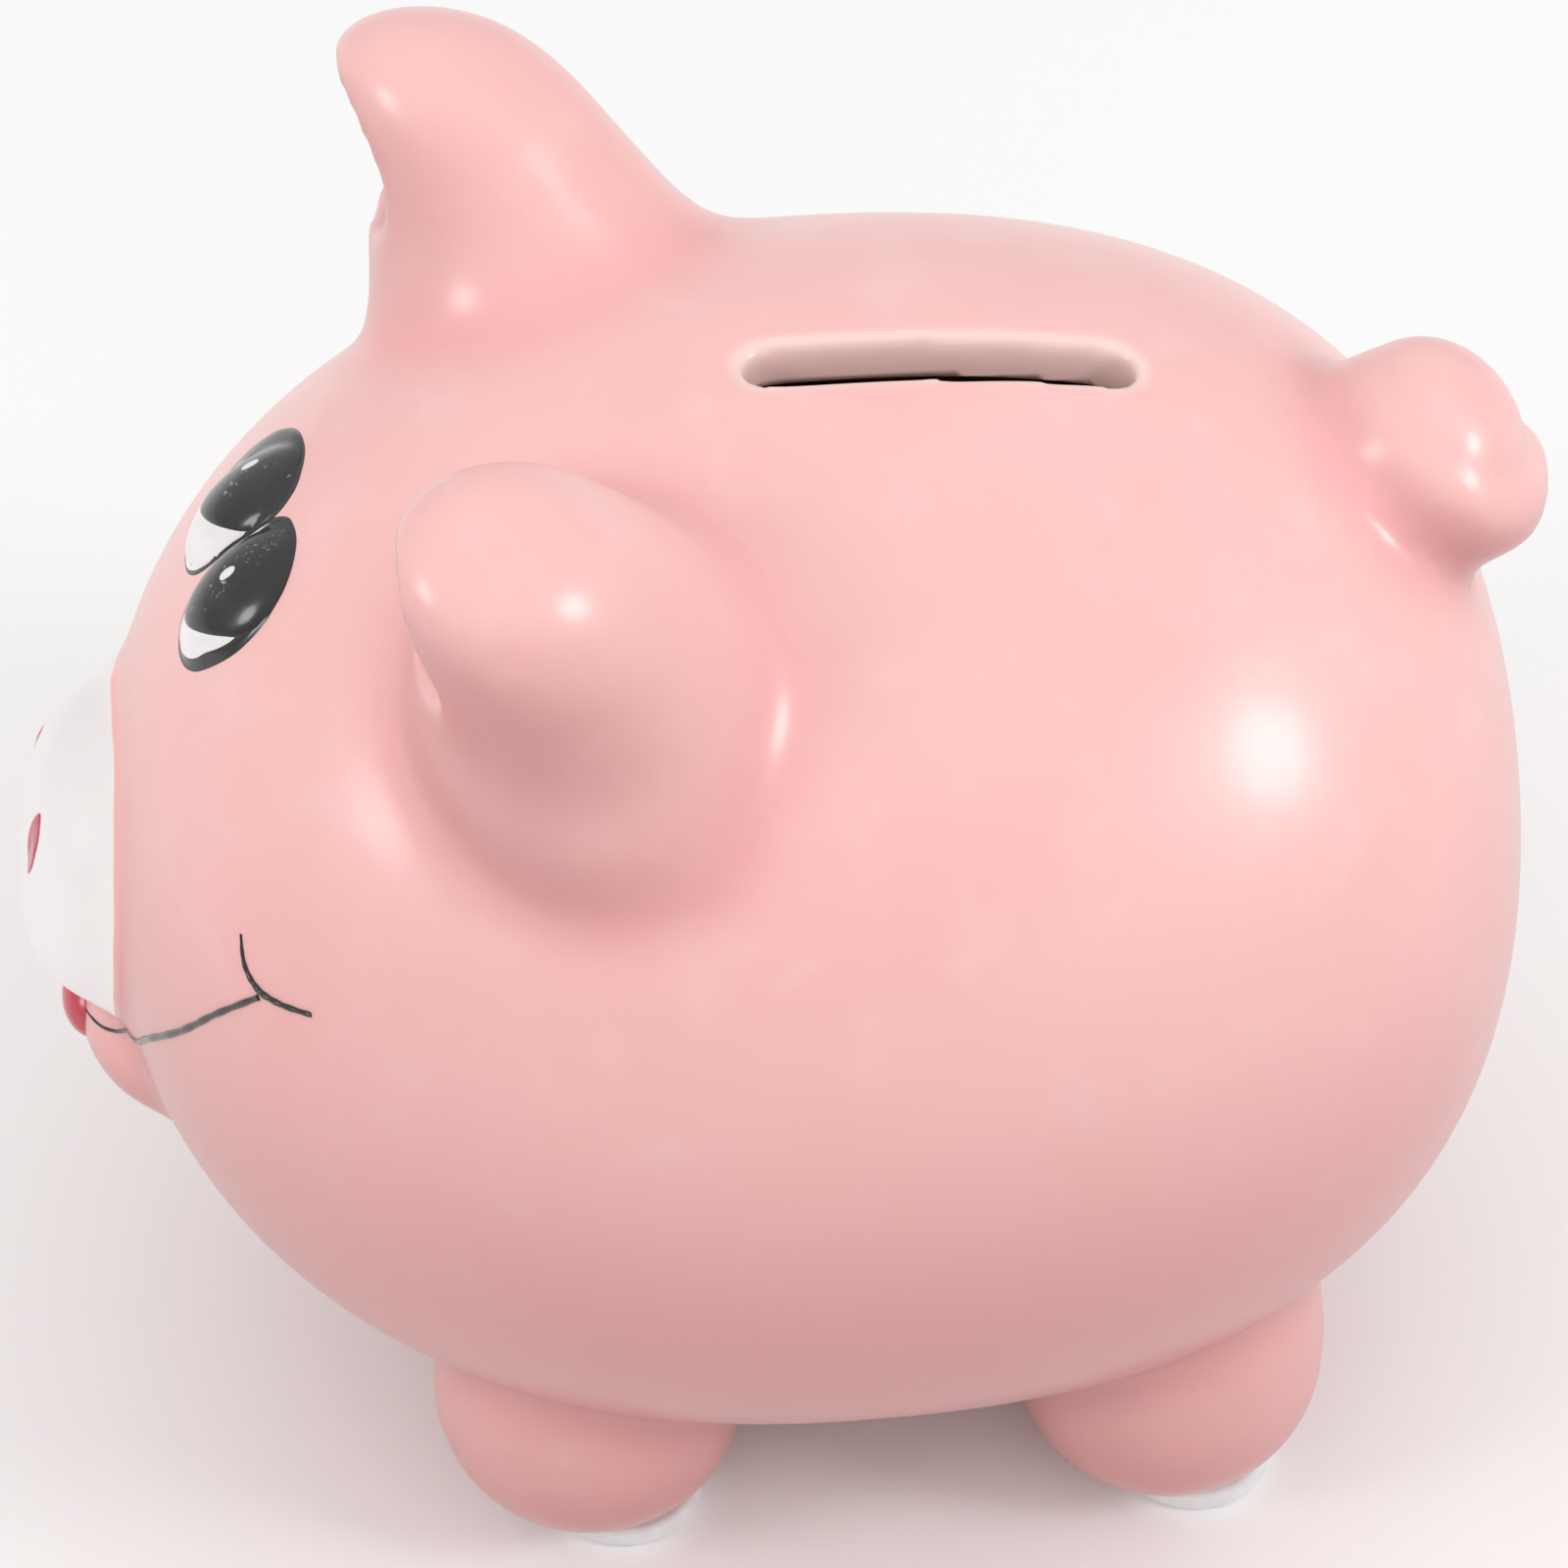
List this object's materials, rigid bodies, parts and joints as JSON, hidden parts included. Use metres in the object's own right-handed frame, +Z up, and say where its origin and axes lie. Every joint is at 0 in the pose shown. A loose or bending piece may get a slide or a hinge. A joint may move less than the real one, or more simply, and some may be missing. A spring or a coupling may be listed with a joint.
{
  "type": "piggy bank",
  "caption": "Pig-shaped glazed ceramic coin bank with a slot in its back, painted face, curled tail and a rubber stopper in its belly.",
  "frame": {"origin": "on the resting plane, under the middle of the bank's bounding box", "axes": "+Z is up; the pig faces -Y, its tail is on the +Y side and its left side is +X"},
  "size_m": [0.112, 0.1392, 0.1341],
  "materials": {
    "pink_glaze": "gloss",
    "snout_glaze": "gloss",
    "red_enamel": "gloss",
    "black_enamel": "gloss",
    "white_enamel": "gloss",
    "foot_pad": "matte",
    "stopper_rubber": "matte"
  },
  "bodies": {
    "bank": {"body_shell": "pink_glaze", "snout": "snout_glaze", "nostril_left": "red_enamel", "nostril_right": "red_enamel", "ear_left": "pink_glaze", "ear_right": "pink_glaze", "tongue": "red_enamel", "tail": "pink_glaze", "eye_outline_left": "black_enamel", "eye_white_left": "white_enamel", "pupil_left": "black_enamel", "eye_glint_left": "white_enamel", "leg_front_left": "pink_glaze", "foot_pad_front_left": "foot_pad", "leg_rear_left": "pink_glaze", "foot_pad_rear_left": "foot_pad", "eye_outline_right": "black_enamel", "eye_white_right": "white_enamel", "pupil_right": "black_enamel", "eye_glint_right": "white_enamel", "leg_front_right": "pink_glaze", "foot_pad_front_right": "foot_pad", "leg_rear_right": "pink_glaze", "foot_pad_rear_right": "foot_pad"},
    "stopper": {"belly_stopper": "stopper_rubber"}
  },
  "joints": [
    {"name": "stopper_pull", "type": "slide", "parent": "bank", "child": "stopper", "axis": [0, 0, -1], "range_m": [0, 0.012]}
  ]
}
